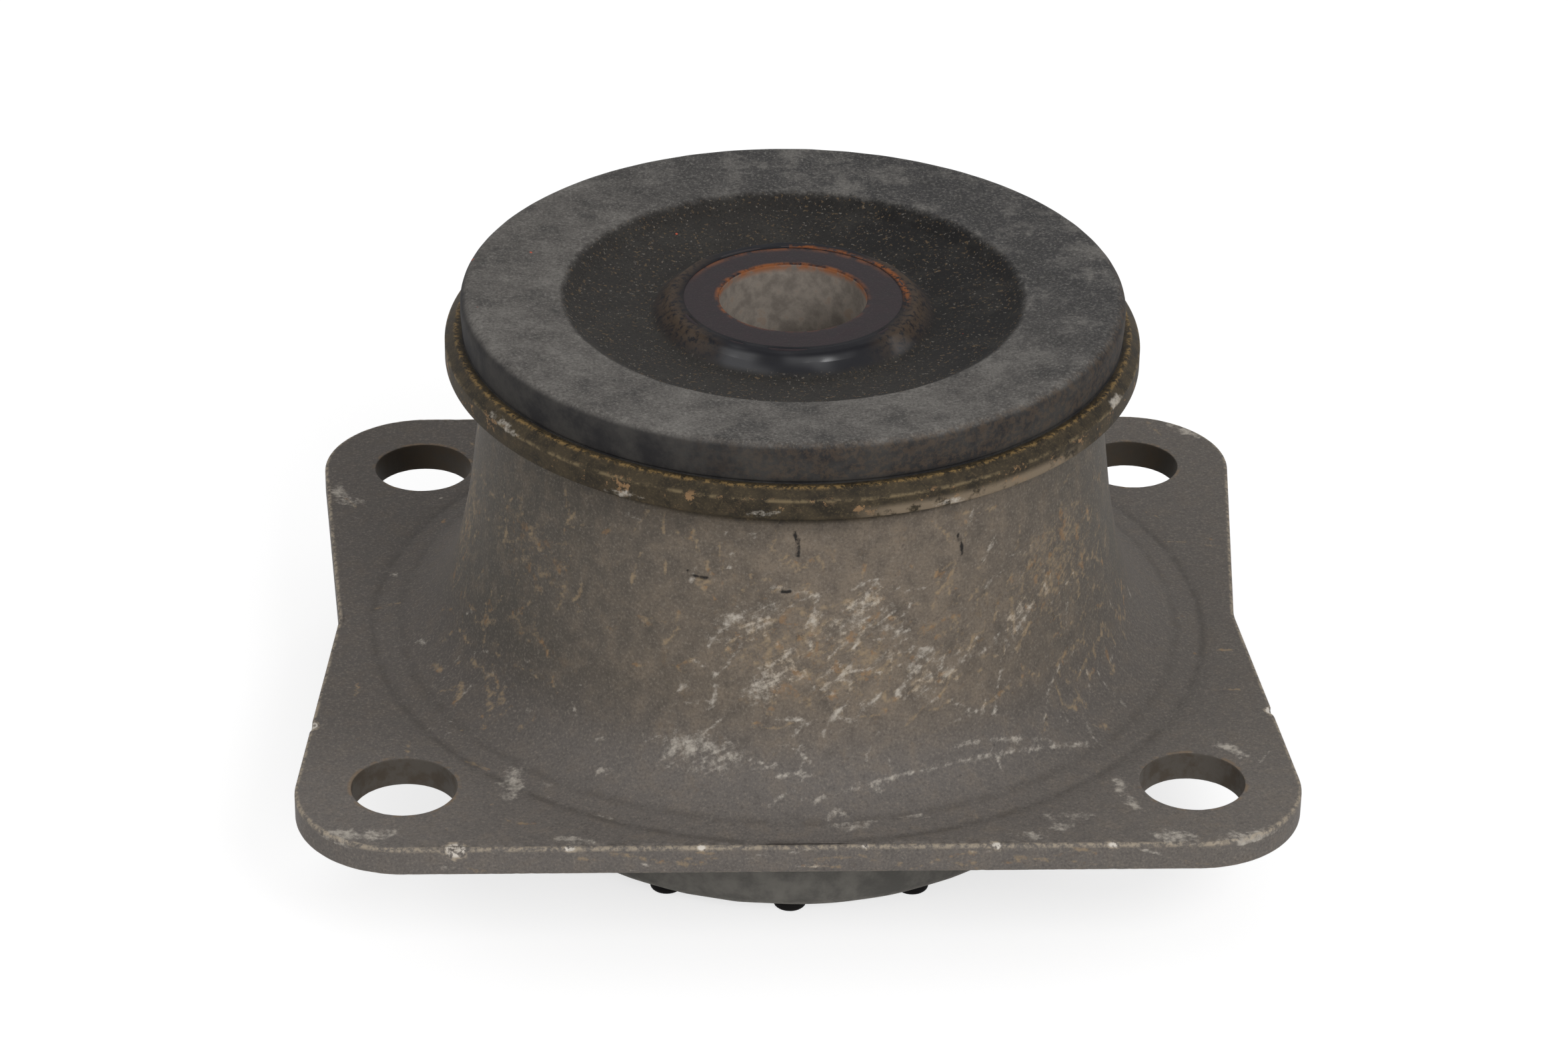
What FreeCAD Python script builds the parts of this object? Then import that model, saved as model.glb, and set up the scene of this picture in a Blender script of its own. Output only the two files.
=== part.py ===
import FreeCAD, Part
import math
import os
import Sketcher
from FreeCAD import Vector

# Centre-bonded engine mount: a drawn steel housing, a moulded rubber element
# and a thick steel sleeve. Millimetres, +Z up. The origin is the middle of the
# bolt pattern, on the underside of the flange.

SIZES = {
    # flange of the housing, cut from one sheet
    "sheet_thickness": 4.4,
    "flange_length": 140.4,
    "flange_depth": 124.0,
    "waist_length": 132.2,
    "waist_round": 12.0,
    "corner_round": 15.5,
    "edge_break": 0.5,
    "bolt_pitch_x": 110.0,
    "bolt_pitch_y": 92.0,
    "bolt_hole": 15.0,
    # neck drawn up out of the flange, radii on its outer side
    "draw_circle": 61.0,
    "draw_round": 12.0,
    "flare_round": 90.0,
    "neck_taper": 6.7,
    # lip turned out at the top of the neck
    "lip_circle": 47.2,
    "lip_bend": 3.0,
    "lip_top": 52.8,
    "lip_radius": 49.6,
    "lip_bevel_width": 1.4,
    "lip_bevel_height": 1.3,
    # rubber disc above the lip, with a shallow dish round the sleeve
    "disc_radius": 47.3,
    "disc_top": 58.8,
    "disc_edge": 0.8,
    "dish_rim_radius": 32.6,
    "dish_rim_height": 57.8,
    "dish_step_radius": 30.4,
    "dish_step_height": 56.1,
    "dish_slope": 9.0,
    "collar_root_radius": 19.6,
    "collar_round": 2.0,
    "collar_top": 56.7,
    # rubber below the flange
    "skin_end": 9.0,
    "foot_radius": 44.0,
    "foot_round": 3.5,
    "foot_bottom": 18.8,
    "foot_rim_radius": 33.0,
    "foot_step_radius": 31.0,
    "foot_step_height": 2.5,
    "foot_root_radius": 19.6,
    "foot_root_height": 4.3,
    "foot_collar": 17.2,
    # nubs moulded under the foot
    "nub_count": 13,
    "nub_circle": 38.0,
    "nub_turn": 1.1,
    "nub_diameter": 4.8,
    "nub_length": 2.2,
    "nub_edge": 0.5,
    # steel sleeve
    "sleeve_diameter": 34.0,
    "sleeve_bore": 21.0,
    "sleeve_top": 57.1,
    "sleeve_length": 75.1,
    "sleeve_chamfer": 0.6,
}

START, END, CENTRE = 1, 2, 3
ORIGIN = (-1, 1)
X_AXIS, Y_AXIS = -1, -2
TOUCH = 1e-6

document = FreeCAD.newDocument("engine_mount")
sizes = document.addObject("Spreadsheet::Sheet", "sizes")


def fill_sheet():
    for row, (alias, number) in enumerate(SIZES.items(), start=1):
        sizes.set(f"A{row}", alias)
        sizes.set(f"B{row}", str(number))
        sizes.setAlias(f"B{row}", alias)
    document.recompute()


def size(alias):
    return float(sizes.get(alias))


# ---- sketch helpers ---------------------------------------------------------

def origin_feature(body, role):
    return next(item for item in body.Origin.OriginFeatures if item.Role == role)


def new_body(name):
    body = document.addObject("PartDesign::Body", name)
    body.Label = name
    body.Placement = FreeCAD.Placement()
    return body


def new_sketch(body, name, plane, height=None):
    """A sketch on one of the body's origin planes, raised by a formula."""
    sketch = body.newObject("Sketcher::SketchObject", name)
    sketch.AttachmentSupport = (origin_feature(body, plane), "")
    sketch.MapMode = "FlatFace"
    if height:
        sketch.setExpression("AttachmentOffset.Base.z", height)
    return sketch


def line(sketch, first, last):
    return sketch.addGeometry(Part.LineSegment(Vector(*first, 0), Vector(*last, 0)), False)


def arc(sketch, centre, radius, first_angle, last_angle):
    """An arc drawn anticlockwise between two angles in radians."""
    circle = Part.Circle(Vector(*centre, 0), Vector(0, 0, 1), radius)
    return sketch.addGeometry(Part.ArcOfCircle(circle, first_angle, last_angle), False)


def circle(sketch, centre, radius):
    return sketch.addGeometry(Part.Circle(Vector(*centre, 0), Vector(0, 0, 1), radius), False)


def relate(sketch, kind, *items):
    return sketch.addConstraint(Sketcher.Constraint(kind, *items))


def join(sketch, first, last, smooth=False):
    """Joins two ends, given as (geometry, end), smoothly where asked."""
    relate(sketch, "Tangent" if smooth else "Coincident", *first, *last)


def drawn_value(sketch, kind, items):
    """What a dimension measures on the geometry as it was drawn."""
    if kind == "Radius":
        return sketch.Geometry[items[0]].Radius
    if kind == "Angle":
        edge = sketch.Geometry[items[0]]
        return math.atan2(edge.EndPoint.y - edge.StartPoint.y, edge.EndPoint.x - edge.StartPoint.x)
    first, last = (sketch.getPoint(*items[i:i + 2]) for i in (0, 2))
    return last.x - first.x if kind == "DistanceX" else last.y - first.y


def chain(sketch, points):
    """Straight lines through the points, joined end to start."""
    lines = [line(sketch, first, last) for first, last in zip(points, points[1:])]
    for first, last in zip(lines, lines[1:]):
        join(sketch, (first, END), (last, START))
    return lines


def dimension(sketch, kind, items, formula):
    """Adds a dimension and binds it to a formula on the sheet."""
    value = drawn_value(sketch, kind, items)
    number = sketch.addConstraint(Sketcher.Constraint(kind, *items, value))
    sketch.setExpression(f"Constraints[{number}]", formula)


def place_point(sketch, point, x_formula, y_formula):
    """Fixes a point, given as (geometry, end), by its two coordinates."""
    dimension(sketch, "DistanceX", (*ORIGIN, *point), x_formula)
    dimension(sketch, "DistanceY", (*ORIGIN, *point), y_formula)


def finish_sketch(sketch):
    document.recompute()
    if "Invalid" in sketch.State or not sketch.FullyConstrained:
        raise RuntimeError(f"{sketch.Name} is not solved and fully constrained")


def revolve(body, name, sketch):
    feature = body.newObject("PartDesign::Revolution", name)
    feature.Profile = sketch
    feature.ReferenceAxis = (sketch, ["V_Axis"])
    feature.Angle = 360.0
    document.recompute()
    return feature


def pad(body, name, sketch, length):
    feature = body.newObject("PartDesign::Pad", name)
    feature.Profile = sketch
    feature.setExpression("Length", length)
    document.recompute()
    return feature


def drill(body, name, sketch, diameter):
    """Holes right through, down from the sketch's plane."""
    before = body.Shape.Volume
    feature = body.newObject("PartDesign::Hole", name)
    feature.Profile = sketch
    feature.ThreadType = "None"
    feature.DepthType = "ThroughAll"
    feature.setExpression("Diameter", diameter)
    document.recompute()
    if not feature.Shape.Volume < before:
        raise RuntimeError(f"{name} removes nothing")
    return feature


def dress_edges(body, kind, name, wanted, formula):
    """Rounds or chamfers the edges of the body for which wanted(edge) holds."""
    base = body.Tip
    names = [f"Edge{number}" for number, edge in enumerate(base.Shape.Edges, start=1) if wanted(edge)]
    feature = body.newObject(f"PartDesign::{kind}", name)
    feature.Base = (base, names)
    feature.setExpression("Radius" if kind == "Fillet" else "Size", formula)
    document.recompute()
    return feature


def lies_at(edge, height):
    box = edge.BoundBox
    return abs(box.ZMin - height) < TOUCH and abs(box.ZMax - height) < TOUCH


# ---- the drawn wall, shared by the housing and the rubber bonded to it -------

class Wall:
    """Section of the drawn neck: lip bend, tapered neck, flare and draw round.

    The bends share their centres on both sides of the sheet, so that each side
    is the same chain with its radii larger by the depth into the sheet.
    """

    def __init__(self):
        thickness = size("sheet_thickness")
        taper = math.radians(size("neck_taper"))
        draw, flare, bend = size("draw_round"), size("flare_round"), size("lip_bend")
        out = Vector(math.cos(taper), math.sin(taper), 0)
        up = Vector(-math.sin(taper), math.cos(taper), 0)
        self.draw_centre = Vector(size("draw_circle"), thickness + draw, 0)
        self.bend_centre = Vector(size("lip_circle"), size("lip_top") - thickness - bend, 0)
        neck_top = self.bend_centre - out * bend
        offset = self.draw_centre - neck_top
        rise = math.sqrt((flare - draw) ** 2 - (flare - offset.dot(out)) ** 2)
        self.flare_foot = up * (offset.dot(up) + rise)
        self.flare_centre = neck_top + out * flare + self.flare_foot
        sight = self.draw_centre - self.flare_centre
        self.taper_angle = math.pi + taper
        self.draw_angle = math.atan2(sight.y, sight.x) % (2 * math.pi)
        self.out = out

    def draw_on(self, sketch, depth, depth_formula, end_height):
        """Adds one side of the wall, at a depth into the sheet, from a height up to the lip."""
        draw_radius = size("draw_round") + depth
        flare_radius = size("flare_round") + depth
        bend_radius = size("lip_bend") + depth
        neck_top = self.bend_centre - self.out * bend_radius
        draw_end = math.pi + math.asin((self.draw_centre.y - end_height) / draw_radius)
        draw = arc(sketch, self.draw_centre[:2], draw_radius, self.draw_angle, draw_end)
        flare = arc(sketch, self.flare_centre[:2], flare_radius, self.taper_angle, self.draw_angle)
        neck = line(sketch, (neck_top + self.flare_foot)[:2], neck_top[:2])
        bend = arc(sketch, self.bend_centre[:2], bend_radius, math.pi / 2, self.taper_angle)
        join(sketch, (draw, START), (flare, END), smooth=True)
        join(sketch, (flare, START), (neck, START), smooth=True)
        join(sketch, (neck, END), (bend, END), smooth=True)
        place_point(sketch, (draw, CENTRE), "sizes.draw_circle", "sizes.sheet_thickness + sizes.draw_round")
        place_point(sketch, (bend, CENTRE), "sizes.lip_circle",
                    "sizes.lip_top - sizes.sheet_thickness - sizes.lip_bend")
        dimension(sketch, "Radius", (draw,), f"sizes.draw_round + {depth_formula}")
        dimension(sketch, "Radius", (flare,), f"sizes.flare_round + {depth_formula}")
        dimension(sketch, "Radius", (bend,), f"sizes.lip_bend + {depth_formula}")
        dimension(sketch, "Angle", (neck,), "(90 + sizes.neck_taper) * 1 deg")
        relate(sketch, "Vertical", bend, CENTRE, bend, START)
        return draw, bend


# ---- outer housing ----------------------------------------------------------

def flange_outline(body):
    """Four-hole flange with round corners, pinched at the middle of each end."""
    sketch = new_sketch(body, "flange_outline", "XY_Plane")
    corner_radius, waist_radius = size("corner_round"), size("waist_round")
    corner = Vector(size("flange_length") / 2 - corner_radius, size("flange_depth") / 2 - corner_radius, 0)
    waist = Vector(size("waist_length") / 2 + waist_radius, 0, 0)
    between = waist - corner
    turn = math.acos((corner_radius + waist_radius) / between.Length)
    lean = math.atan2(between.y, between.x) + turn
    quarters = [(1, 1), (-1, 1), (-1, -1), (1, -1)]
    corners, sides = [], []
    for x_sign, y_sign in quarters:
        def mirrored(angle):
            return math.atan2(y_sign * math.sin(angle), x_sign * math.cos(angle))
        centre = (x_sign * corner.x, y_sign * corner.y)
        ends = [mirrored(lean), mirrored(math.pi / 2)]
        first, last = ends if x_sign * y_sign > 0 else reversed(ends)
        corners.append(arc(sketch, centre, corner_radius, first, last))
        normal = Vector(math.cos(lean), math.sin(lean), 0)
        on_corner, on_waist = corner + normal * corner_radius, waist - normal * waist_radius
        sides.append(line(sketch, (x_sign * on_waist.x, y_sign * on_waist.y),
                          (x_sign * on_corner.x, y_sign * on_corner.y)))
    side_end = {corners[0]: START, corners[1]: END, corners[2]: START, corners[3]: END}
    edge_end = {number: END if end == START else START for number, end in side_end.items()}
    for number, side in zip(corners, sides):
        join(sketch, (number, side_end[number]), (side, END), smooth=True)
    for first, last in ((0, 1), (2, 3)):
        ends = [(corners[first], edge_end[corners[first]]), (corners[last], edge_end[corners[last]])]
        points = [sketch.getPoint(*end) for end in ends]
        edge = line(sketch, points[0][:2], points[1][:2])
        join(sketch, ends[0], (edge, START), smooth=True)
        join(sketch, ends[1], (edge, END), smooth=True)
    right = arc(sketch, waist[:2], waist_radius, math.pi + lean, math.pi - lean)
    left = arc(sketch, (-waist.x, 0), waist_radius, lean, -lean)
    join(sketch, (right, START), (sides[0], START), smooth=True)
    join(sketch, (right, END), (sides[3], START), smooth=True)
    join(sketch, (left, END), (sides[1], START), smooth=True)
    join(sketch, (left, START), (sides[2], START), smooth=True)
    place_point(sketch, (corners[0], CENTRE), "sizes.flange_length / 2 - sizes.corner_round",
                "sizes.flange_depth / 2 - sizes.corner_round")
    dimension(sketch, "Radius", (corners[0],), "sizes.corner_round")
    for number, axis, pair in ((1, Y_AXIS, 0), (2, X_AXIS, 1), (3, X_AXIS, 0)):
        relate(sketch, "Equal", corners[0], corners[number])
        relate(sketch, "Symmetric", corners[pair], CENTRE, corners[number], CENTRE, axis)
    relate(sketch, "PointOnObject", right, CENTRE, X_AXIS)
    dimension(sketch, "DistanceX", (*ORIGIN, right, CENTRE), "sizes.waist_length / 2 + sizes.waist_round")
    dimension(sketch, "Radius", (right,), "sizes.waist_round")
    relate(sketch, "Equal", right, left)
    relate(sketch, "Symmetric", right, CENTRE, left, CENTRE, Y_AXIS)
    mouth = circle(sketch, (0, 0), size("draw_circle"))
    relate(sketch, "Coincident", mouth, CENTRE, *ORIGIN)
    dimension(sketch, "Radius", (mouth,), "sizes.draw_circle")
    finish_sketch(sketch)
    return sketch


def housing_section(body, wall):
    """Sheet section from the draw round up to the bevelled edge of the lip."""
    sketch = new_sketch(body, "neck_section", "XZ_Plane")
    thickness = size("sheet_thickness")
    lip_top, lip_radius = size("lip_top"), size("lip_radius")
    bevel_foot = (lip_radius, lip_top - size("lip_bevel_height"))
    bevel_head = (lip_radius - size("lip_bevel_width"), lip_top)
    outer_draw, outer_bend = wall.draw_on(sketch, 0.0, "0", thickness)
    inner_draw, inner_bend = wall.draw_on(sketch, thickness, "sizes.sheet_thickness", 0.0)
    under, edge, bevel, top = chain(sketch, [(size("lip_circle"), lip_top - thickness),
                                             (lip_radius, lip_top - thickness), bevel_foot, bevel_head,
                                             (size("lip_circle"), lip_top)])
    join(sketch, (outer_bend, START), (under, START))
    join(sketch, (top, END), (inner_bend, START))
    relate(sketch, "Horizontal", under)
    relate(sketch, "Vertical", edge)
    relate(sketch, "Horizontal", top)
    dimension(sketch, "DistanceX", (*ORIGIN, edge, END), "sizes.lip_radius")
    dimension(sketch, "DistanceX", (bevel, END, bevel, START), "sizes.lip_bevel_width")
    dimension(sketch, "DistanceY", (bevel, START, bevel, END), "sizes.lip_bevel_height")
    root = line(sketch, (size("draw_circle"), 0), (size("draw_circle"), thickness))
    join(sketch, (inner_draw, END), (root, START))
    join(sketch, (outer_draw, END), (root, END))
    relate(sketch, "Vertical", inner_draw, CENTRE, inner_draw, END)
    relate(sketch, "Vertical", root)
    finish_sketch(sketch)
    return sketch


def build_housing(wall):
    body = new_body("outer_housing")
    pad(body, "flange", flange_outline(body), "sizes.sheet_thickness")
    revolve(body, "neck", housing_section(body, wall))
    centres = new_sketch(body, "bolt_centres", "XY_Plane", "sizes.sheet_thickness")
    half_x, half_y = size("bolt_pitch_x") / 2, size("bolt_pitch_y") / 2
    holes = [circle(centres, (x * half_x, y * half_y), size("bolt_hole") / 2)
             for x, y in ((1, 1), (-1, 1), (-1, -1), (1, -1))]
    place_point(centres, (holes[0], CENTRE), "sizes.bolt_pitch_x / 2", "sizes.bolt_pitch_y / 2")
    dimension(centres, "Radius", (holes[0],), "sizes.bolt_hole / 2")
    for number, axis, pair in ((1, Y_AXIS, 0), (2, X_AXIS, 1), (3, X_AXIS, 0)):
        relate(centres, "Equal", holes[0], holes[number])
        relate(centres, "Symmetric", holes[pair], CENTRE, holes[number], CENTRE, axis)
    finish_sketch(centres)
    drill(body, "bolt_holes", centres, "sizes.bolt_hole")

    def on_outline(edge):
        """The flange's top outline: at the top face, outside the draw circle, not a hole."""
        is_circle = isinstance(edge.Curve, Part.Circle) and edge.isClosed()
        return lies_at(edge, size("sheet_thickness")) and not is_circle

    dress_edges(body, "Chamfer", "edge_break", on_outline, "sizes.edge_break")
    return body


# ---- rubber element ---------------------------------------------------------

def rubber_section(body, wall):
    """Section of the moulding: disc and dish above, foot and shallow dish below."""
    sketch = new_sketch(body, "moulding_section", "XZ_Plane")
    sleeve_radius, disc_radius, disc_top = size("sleeve_diameter") / 2, size("disc_radius"), size("disc_top")
    lip_top, disc_edge, skin_end = size("lip_top"), size("disc_edge"), size("skin_end")
    wall_draw, wall_bend = wall.draw_on(sketch, size("sheet_thickness"), "sizes.sheet_thickness", skin_end)

    # disc on the lip, ring falling to the dish, step and floor of the dish
    slope = math.radians(size("dish_slope"))
    rim = (size("dish_rim_radius"), size("dish_rim_height"))
    step = (size("dish_step_radius"), size("dish_step_height"))
    root_radius = size("collar_root_radius")
    root = (root_radius, step[1] - (step[0] - root_radius) * math.tan(slope))
    corners = [(size("lip_circle"), lip_top), (disc_radius, lip_top), (disc_radius, disc_top - disc_edge),
               (disc_radius - disc_edge, disc_top), rim, step, root]
    seat, side, edge, ring, dish_step, floor = chain(sketch, corners)
    join(sketch, (wall_bend, START), (seat, START))
    relate(sketch, "Horizontal", seat)
    relate(sketch, "Vertical", side)
    place_point(sketch, (side, END), "sizes.disc_radius", "sizes.disc_top - sizes.disc_edge")
    place_point(sketch, (edge, END), "sizes.disc_radius - sizes.disc_edge", "sizes.disc_top")
    place_point(sketch, (ring, END), "sizes.dish_rim_radius", "sizes.dish_rim_height")
    place_point(sketch, (dish_step, END), "sizes.dish_step_radius", "sizes.dish_step_height")
    dimension(sketch, "Angle", (floor,), "(180 + sizes.dish_slope) * 1 deg")
    dimension(sketch, "DistanceX", (*ORIGIN, floor, END), "sizes.collar_root_radius")

    # collar of rubber that runs up the sleeve
    collar_round, collar_top = size("collar_round"), size("collar_top")
    centre = (root[0] - collar_round * math.sin(slope), root[1] + collar_round * math.cos(slope))
    collar_radius = centre[0] - collar_round
    collar = arc(sketch, centre, collar_round, math.pi, 1.5 * math.pi + slope)
    collar_wall, collar_end = chain(sketch, [(collar_radius, centre[1]), (collar_radius, collar_top),
                                             (sleeve_radius, collar_top)])
    join(sketch, (floor, END), (collar, END), smooth=True)
    join(sketch, (collar, START), (collar_wall, START), smooth=True)
    dimension(sketch, "Radius", (collar,), "sizes.collar_round")
    relate(sketch, "Vertical", collar_wall)
    relate(sketch, "Horizontal", collar_end)
    place_point(sketch, (collar_end, END), "sizes.sleeve_diameter / 2", "sizes.collar_top")

    # foot below the housing, from the end of the bonded skin back to the sleeve
    foot_radius, foot_round, bottom = size("foot_radius"), size("foot_round"), -size("foot_bottom")
    reach = math.sqrt((size("draw_round") + size("sheet_thickness")) ** 2
                      - (wall.draw_centre.y - skin_end) ** 2)
    skin, foot_side = chain(sketch, [(wall.draw_centre.x - reach, skin_end), (foot_radius, skin_end),
                                     (foot_radius, bottom + foot_round)])
    foot_corner = arc(sketch, (foot_radius - foot_round, bottom + foot_round), foot_round,
                      1.5 * math.pi, 2 * math.pi)
    corners = [(foot_radius - foot_round, bottom), (size("foot_rim_radius"), bottom),
               (size("foot_step_radius"), bottom + size("foot_step_height")),
               (size("foot_root_radius"), bottom + size("foot_root_height")),
               (sleeve_radius, -size("foot_collar")), (sleeve_radius, collar_top)]
    foot_face, foot_step, foot_floor, foot_collar, bond = chain(sketch, corners)
    join(sketch, (wall_draw, END), (skin, START))
    join(sketch, (foot_side, END), (foot_corner, END), smooth=True)
    join(sketch, (foot_corner, START), (foot_face, START), smooth=True)
    join(sketch, (bond, END), (collar_end, END))
    relate(sketch, "Horizontal", skin)
    relate(sketch, "Vertical", foot_side)
    relate(sketch, "Horizontal", foot_face)
    relate(sketch, "Vertical", bond)
    place_point(sketch, (skin, END), "sizes.foot_radius", "sizes.skin_end")
    dimension(sketch, "Radius", (foot_corner,), "sizes.foot_round")
    place_point(sketch, (foot_face, END), "sizes.foot_rim_radius", "-sizes.foot_bottom")
    place_point(sketch, (foot_step, END), "sizes.foot_step_radius",
                "sizes.foot_step_height - sizes.foot_bottom")
    place_point(sketch, (foot_floor, END), "sizes.foot_root_radius",
                "sizes.foot_root_height - sizes.foot_bottom")
    dimension(sketch, "DistanceY", (*ORIGIN, bond, START), "-sizes.foot_collar")
    finish_sketch(sketch)
    return sketch


def build_rubber(wall):
    body = new_body("rubber_element")
    revolve(body, "moulding", rubber_section(body, wall))
    before = body.Shape.Volume
    outline = new_sketch(body, "nub_outline", "XY_Plane", "-sizes.foot_bottom - sizes.nub_length")
    turn = math.radians(size("nub_turn"))
    first_nub = (-size("nub_circle") * math.sin(turn), -size("nub_circle") * math.cos(turn))
    nub_circle = circle(outline, first_nub, size("nub_diameter") / 2)
    place_point(outline, (nub_circle, CENTRE), "-sizes.nub_circle * sin(sizes.nub_turn * 1 deg)",
                "-sizes.nub_circle * cos(sizes.nub_turn * 1 deg)")
    dimension(outline, "Radius", (nub_circle,), "sizes.nub_diameter / 2")
    finish_sketch(outline)
    nub = pad(body, "nub", outline, "sizes.nub_length")
    ring = body.newObject("PartDesign::PolarPattern", "nub_ring")
    ring.Originals = [nub]
    ring.Axis = (origin_feature(body, "Z_Axis"), [""])
    ring.Angle = 360.0
    ring.setExpression("Occurrences", "sizes.nub_count")
    body.Tip = ring
    document.recompute()
    one_nub = math.pi * (size("nub_diameter") / 2) ** 2 * size("nub_length")
    if abs(body.Shape.Volume - before - size("nub_count") * one_nub) > one_nub / 10:
        raise RuntimeError("the ring of nubs is not whole")
    nub_bottom = -size("foot_bottom") - size("nub_length")
    dress_edges(body, "Chamfer", "nub_edges", lambda edge: lies_at(edge, nub_bottom), "sizes.nub_edge")
    return body


# ---- inner sleeve -----------------------------------------------------------

def build_sleeve():
    body = new_body("inner_sleeve")
    outline = new_sketch(body, "sleeve_outline", "XY_Plane", "sizes.sleeve_top - sizes.sleeve_length")
    tube = circle(outline, (0, 0), size("sleeve_diameter") / 2)
    relate(outline, "Coincident", tube, CENTRE, *ORIGIN)
    dimension(outline, "Radius", (tube,), "sizes.sleeve_diameter / 2")
    finish_sketch(outline)
    pad(body, "tube", outline, "sizes.sleeve_length")
    centre = new_sketch(body, "bore_centre", "XY_Plane", "sizes.sleeve_top")
    bore = circle(centre, (0, 0), size("sleeve_bore") / 2)
    relate(centre, "Coincident", bore, CENTRE, *ORIGIN)
    dimension(centre, "Radius", (bore,), "sizes.sleeve_bore / 2")
    finish_sketch(centre)
    drill(body, "bore", centre, "sizes.sleeve_bore")
    ends = (size("sleeve_top"), size("sleeve_top") - size("sleeve_length"))
    dress_edges(body, "Chamfer", "end_chamfers",
                lambda edge: any(lies_at(edge, height) for height in ends), "sizes.sleeve_chamfer")
    return body


# ---- checks and export ------------------------------------------------------

def check_objects():
    for item in document.Objects:
        if {"Invalid", "Error"} & set(item.State):
            raise RuntimeError(f"{item.Name} failed: {item.State}")


def export(bodies):
    os.makedirs("parts", exist_ok=True)
    for body in bodies:
        shape = body.Shape
        if shape.isNull() or not shape.isValid() or len(shape.Solids) != 1:
            raise RuntimeError(f"{body.Label} is not one valid solid")
    for body in bodies:
        body.Shape.exportStep(f"parts/{body.Label}.step")
        print(body.Label, round(body.Shape.Volume), "mm3")


def main():
    fill_sheet()
    wall = Wall()
    bodies = [build_housing(wall), build_rubber(wall), build_sleeve()]
    document.recompute()
    check_objects()
    export(bodies)


main()
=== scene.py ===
"""Looks of the engine mount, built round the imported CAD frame."""
import math
import random
from collections import namedtuple

import bmesh
import bpy
import numpy as np
from mathutils import Matrix, Vector, geometry, noise


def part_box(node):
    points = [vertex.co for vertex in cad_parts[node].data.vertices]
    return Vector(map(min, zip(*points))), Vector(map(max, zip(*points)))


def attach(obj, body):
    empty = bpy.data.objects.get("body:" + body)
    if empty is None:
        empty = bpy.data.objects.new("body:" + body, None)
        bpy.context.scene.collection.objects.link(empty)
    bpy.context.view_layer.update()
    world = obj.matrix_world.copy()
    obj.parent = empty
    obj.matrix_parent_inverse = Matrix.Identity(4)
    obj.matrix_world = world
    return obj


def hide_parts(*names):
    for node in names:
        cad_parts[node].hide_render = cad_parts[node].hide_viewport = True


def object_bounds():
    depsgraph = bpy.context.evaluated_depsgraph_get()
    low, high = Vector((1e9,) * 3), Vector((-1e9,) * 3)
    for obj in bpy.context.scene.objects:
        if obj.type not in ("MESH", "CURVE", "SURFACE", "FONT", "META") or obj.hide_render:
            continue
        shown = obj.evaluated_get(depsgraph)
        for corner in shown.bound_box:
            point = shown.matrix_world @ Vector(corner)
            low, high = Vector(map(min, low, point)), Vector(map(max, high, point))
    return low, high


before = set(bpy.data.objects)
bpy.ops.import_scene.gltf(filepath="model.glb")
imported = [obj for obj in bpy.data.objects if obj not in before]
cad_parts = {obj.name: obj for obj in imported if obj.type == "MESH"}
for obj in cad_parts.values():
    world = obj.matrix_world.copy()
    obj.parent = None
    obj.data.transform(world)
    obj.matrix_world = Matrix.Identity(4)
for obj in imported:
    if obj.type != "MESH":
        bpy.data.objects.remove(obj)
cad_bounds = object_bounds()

MM = 0.001
random.seed(7)

housing_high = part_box("outer_housing")[1] / MM
sleeve_low, sleeve_high = (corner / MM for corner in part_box("inner_sleeve"))
rubber_low, rubber_high = (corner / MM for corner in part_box("rubber_element"))

# ---- sizes, in millimetres, as in the part ------------------------------------

SHEET = 4.4
LIP_TOP = housing_high.z
DRAW_CENTRE = Vector((61.0, SHEET + 12.0))
DRAW_ROUND = 12.0
INNER_CREASE = DRAW_CENTRE.x - DRAW_ROUND / 3
FLARE_ROUND = 90.0
TAPER = math.radians(6.7)
LIP_CENTRE = Vector((47.2, LIP_TOP - SHEET - 3.0))
LIP_BEND = 3.0
LIP_RADIUS = 49.6
LIP_FOOT = 44.6
HALF_LENGTH = 70.2
HALF_DEPTH = housing_high.y
HALF_WAIST = 66.1
CORNER_ROUND = 15.5
WAIST_ROUND = 12.0
HOLE_X, HOLE_Y, HOLE_RADIUS = 55.0, 46.0, 7.5
PAINT = 0.2
DISC_RADIUS = 47.3
DISC_TOP = rubber_high.z
DISH_RADIUS, COLLAR_RADIUS, FOOT_RADIUS = 33.2, 18.5, 44.0
SLEEVE_RADIUS, BORE_RADIUS, FILM_RADIUS = 17.0, 10.5, 15.6
SLEEVE_TOP, SLEEVE_BOTTOM = sleeve_high.z, sleeve_low.z
NUB_BOTTOM = rubber_low.z
FOOT_BOTTOM = NUB_BOTTOM + 2.2
NUB_COUNT, NUB_CIRCLE, NUB_RADIUS = 13, 38.0, 2.4
NUB_TURN = math.radians(-91.1)


# ---- outlines and sections ----------------------------------------------------

def arc_points(centre, radius, start, stop, count):
    """Points on an arc, both ends included."""
    angles = [start + (stop - start) * step / count for step in range(count + 1)]
    return [Vector((centre[0] + radius * math.cos(a), centre[1] + radius * math.sin(a))) for a in angles]


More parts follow.
